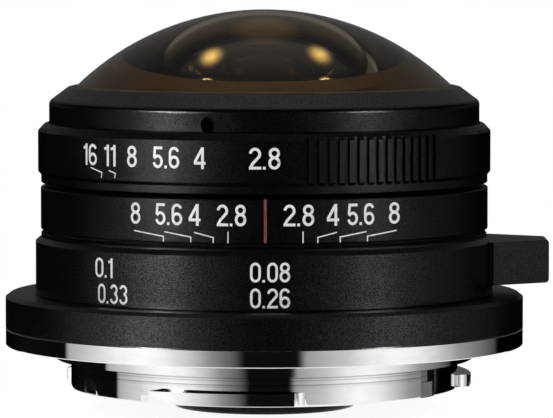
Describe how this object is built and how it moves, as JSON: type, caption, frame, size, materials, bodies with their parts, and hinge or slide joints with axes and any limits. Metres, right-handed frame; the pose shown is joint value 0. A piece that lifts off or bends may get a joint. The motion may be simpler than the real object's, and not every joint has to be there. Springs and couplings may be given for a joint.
{
  "type": "camera lens",
  "caption": "Compact circular fisheye lens with bayonet mount, lever-driven focus ring, aperture ring with grooved grips, and a bladed iris inside.",
  "frame": {"origin": "centre of the bayonet flange's seating face, on the optical axis", "axes": "+Z along the optical axis towards the front glass; the focus lever points along +X at closest focus, and the index line is on the -Y side"},
  "size_m": [0.0543, 0.0518, 0.0397],
  "materials": {
    "black_anodised": "matte black anodised",
    "mount_chrome": "turned, satin chrome",
    "steel": "blackened",
    "brass": "turned",
    "blade_steel": "blackened, thin",
    "glass": "coated optical glass",
    "black_plastic": "ribbed matte",
    "nylon_washer": "black",
    "rubber": "matte",
    "index_paint": "painted red"
  },
  "bodies": {
    "root": {"bayonet_mount": "mount_chrome", "mount_screws": "steel", "mount_baffle": "black_plastic", "base_ring": "black_anodised", "index_dot": "index_paint", "fixed_barrel": "black_anodised", "depth_scale_ring": "black_anodised", "depth_ring_screw": "steel", "guide_keys": "steel", "helicoid_retainer": "black_anodised"},
    "focus": {"focus_ring": "black_anodised", "focus_lever": "black_anodised", "lever_screws": "steel", "focus_helicoid": "brass", "focus_drive_keys": "steel", "focus_washer": "nylon_washer"},
    "optics": {"lens_barrel": "black_anodised", "front_seal": "rubber", "front_ring": "black_anodised", "front_ring_screw": "steel", "front_element": "glass", "front_cell": "black_anodised", "second_element": "glass", "second_retainer": "black_anodised", "third_element": "glass", "cell_retainer": "black_anodised", "element_spacer": "black_anodised", "fourth_element": "glass", "iris_housing": "black_anodised", "iris_cover": "black_anodised", "iris_screws": "steel", "rear_cell": "black_anodised", "fifth_element": "glass", "fifth_retainer": "black_anodised", "rear_spacer": "black_anodised", "sixth_element": "glass", "rear_element": "glass", "rear_retainer": "black_anodised"},
    "aperture": {"aperture_ring": "black_anodised", "iris_cam_ring": "black_anodised", "aperture_arm": "black_anodised", "arm_screw": "steel", "aperture_drive_screw": "steel"},
    "iris_blade_1": {"iris_blade_1": "blade_steel"},
    "iris_blade_2": {"iris_blade_2": "blade_steel"},
    "iris_blade_3": {"iris_blade_3": "blade_steel"},
    "iris_blade_4": {"iris_blade_4": "blade_steel"},
    "iris_blade_5": {"iris_blade_5": "blade_steel"},
    "iris_blade_6": {"iris_blade_6": "blade_steel"},
    "iris_blade_7": {"iris_blade_7": "blade_steel"}
  },
  "joints": [
    {"name": "focus_turn", "type": "hinge", "parent": "root", "child": "focus", "pos_m": [0, 0, 0], "axis": [0, 0, 1], "range_deg": [0, 90]},
    {"name": "optics_slide", "type": "slide", "parent": "root", "child": "optics", "axis": [0, 0, 1], "range_m": [-0.00039, 0]},
    {"name": "aperture_turn", "type": "hinge", "parent": "optics", "child": "aperture", "pos_m": [0, 0, 0], "axis": [0, 0, 1], "range_deg": [0, 43.7]},
    {"name": "blade_1_turn", "type": "hinge", "parent": "optics", "child": "iris_blade_1", "pos_m": [0.0066, 0, 0.0136], "axis": [0, 0, 1], "range_deg": [0, 18.5]},
    {"name": "blade_2_turn", "type": "hinge", "parent": "optics", "child": "iris_blade_2", "pos_m": [0.00412, 0.00516, 0.0136], "axis": [0, 0, 1], "range_deg": [0, 18.5]},
    {"name": "blade_3_turn", "type": "hinge", "parent": "optics", "child": "iris_blade_3", "pos_m": [-0.00147, 0.00643, 0.0136], "axis": [0, 0, 1], "range_deg": [0, 18.5]},
    {"name": "blade_4_turn", "type": "hinge", "parent": "optics", "child": "iris_blade_4", "pos_m": [-0.00595, 0.00286, 0.0136], "axis": [0, 0, 1], "range_deg": [0, 18.5]},
    {"name": "blade_5_turn", "type": "hinge", "parent": "optics", "child": "iris_blade_5", "pos_m": [-0.00595, -0.00286, 0.0136], "axis": [0, 0, 1], "range_deg": [0, 18.5]},
    {"name": "blade_6_turn", "type": "hinge", "parent": "optics", "child": "iris_blade_6", "pos_m": [-0.00147, -0.00643, 0.0136], "axis": [0, 0, 1], "range_deg": [0, 18.5]},
    {"name": "blade_7_turn", "type": "hinge", "parent": "optics", "child": "iris_blade_7", "pos_m": [0.00412, -0.00516, 0.0136], "axis": [0, 0, 1], "range_deg": [0, 18.5]}
  ],
  "couplings": [
    {"joint": "focus_turn", "follows": "optics_slide", "rad_per_m": -4027.7},
    {"joint": "blade_1_turn", "follows": "aperture_turn", "ratio": 0.42242},
    {"joint": "blade_2_turn", "follows": "aperture_turn", "ratio": 0.42242},
    {"joint": "blade_3_turn", "follows": "aperture_turn", "ratio": 0.42242},
    {"joint": "blade_4_turn", "follows": "aperture_turn", "ratio": 0.42242},
    {"joint": "blade_5_turn", "follows": "aperture_turn", "ratio": 0.42242},
    {"joint": "blade_6_turn", "follows": "aperture_turn", "ratio": 0.42242},
    {"joint": "blade_7_turn", "follows": "aperture_turn", "ratio": 0.42242}
  ]
}
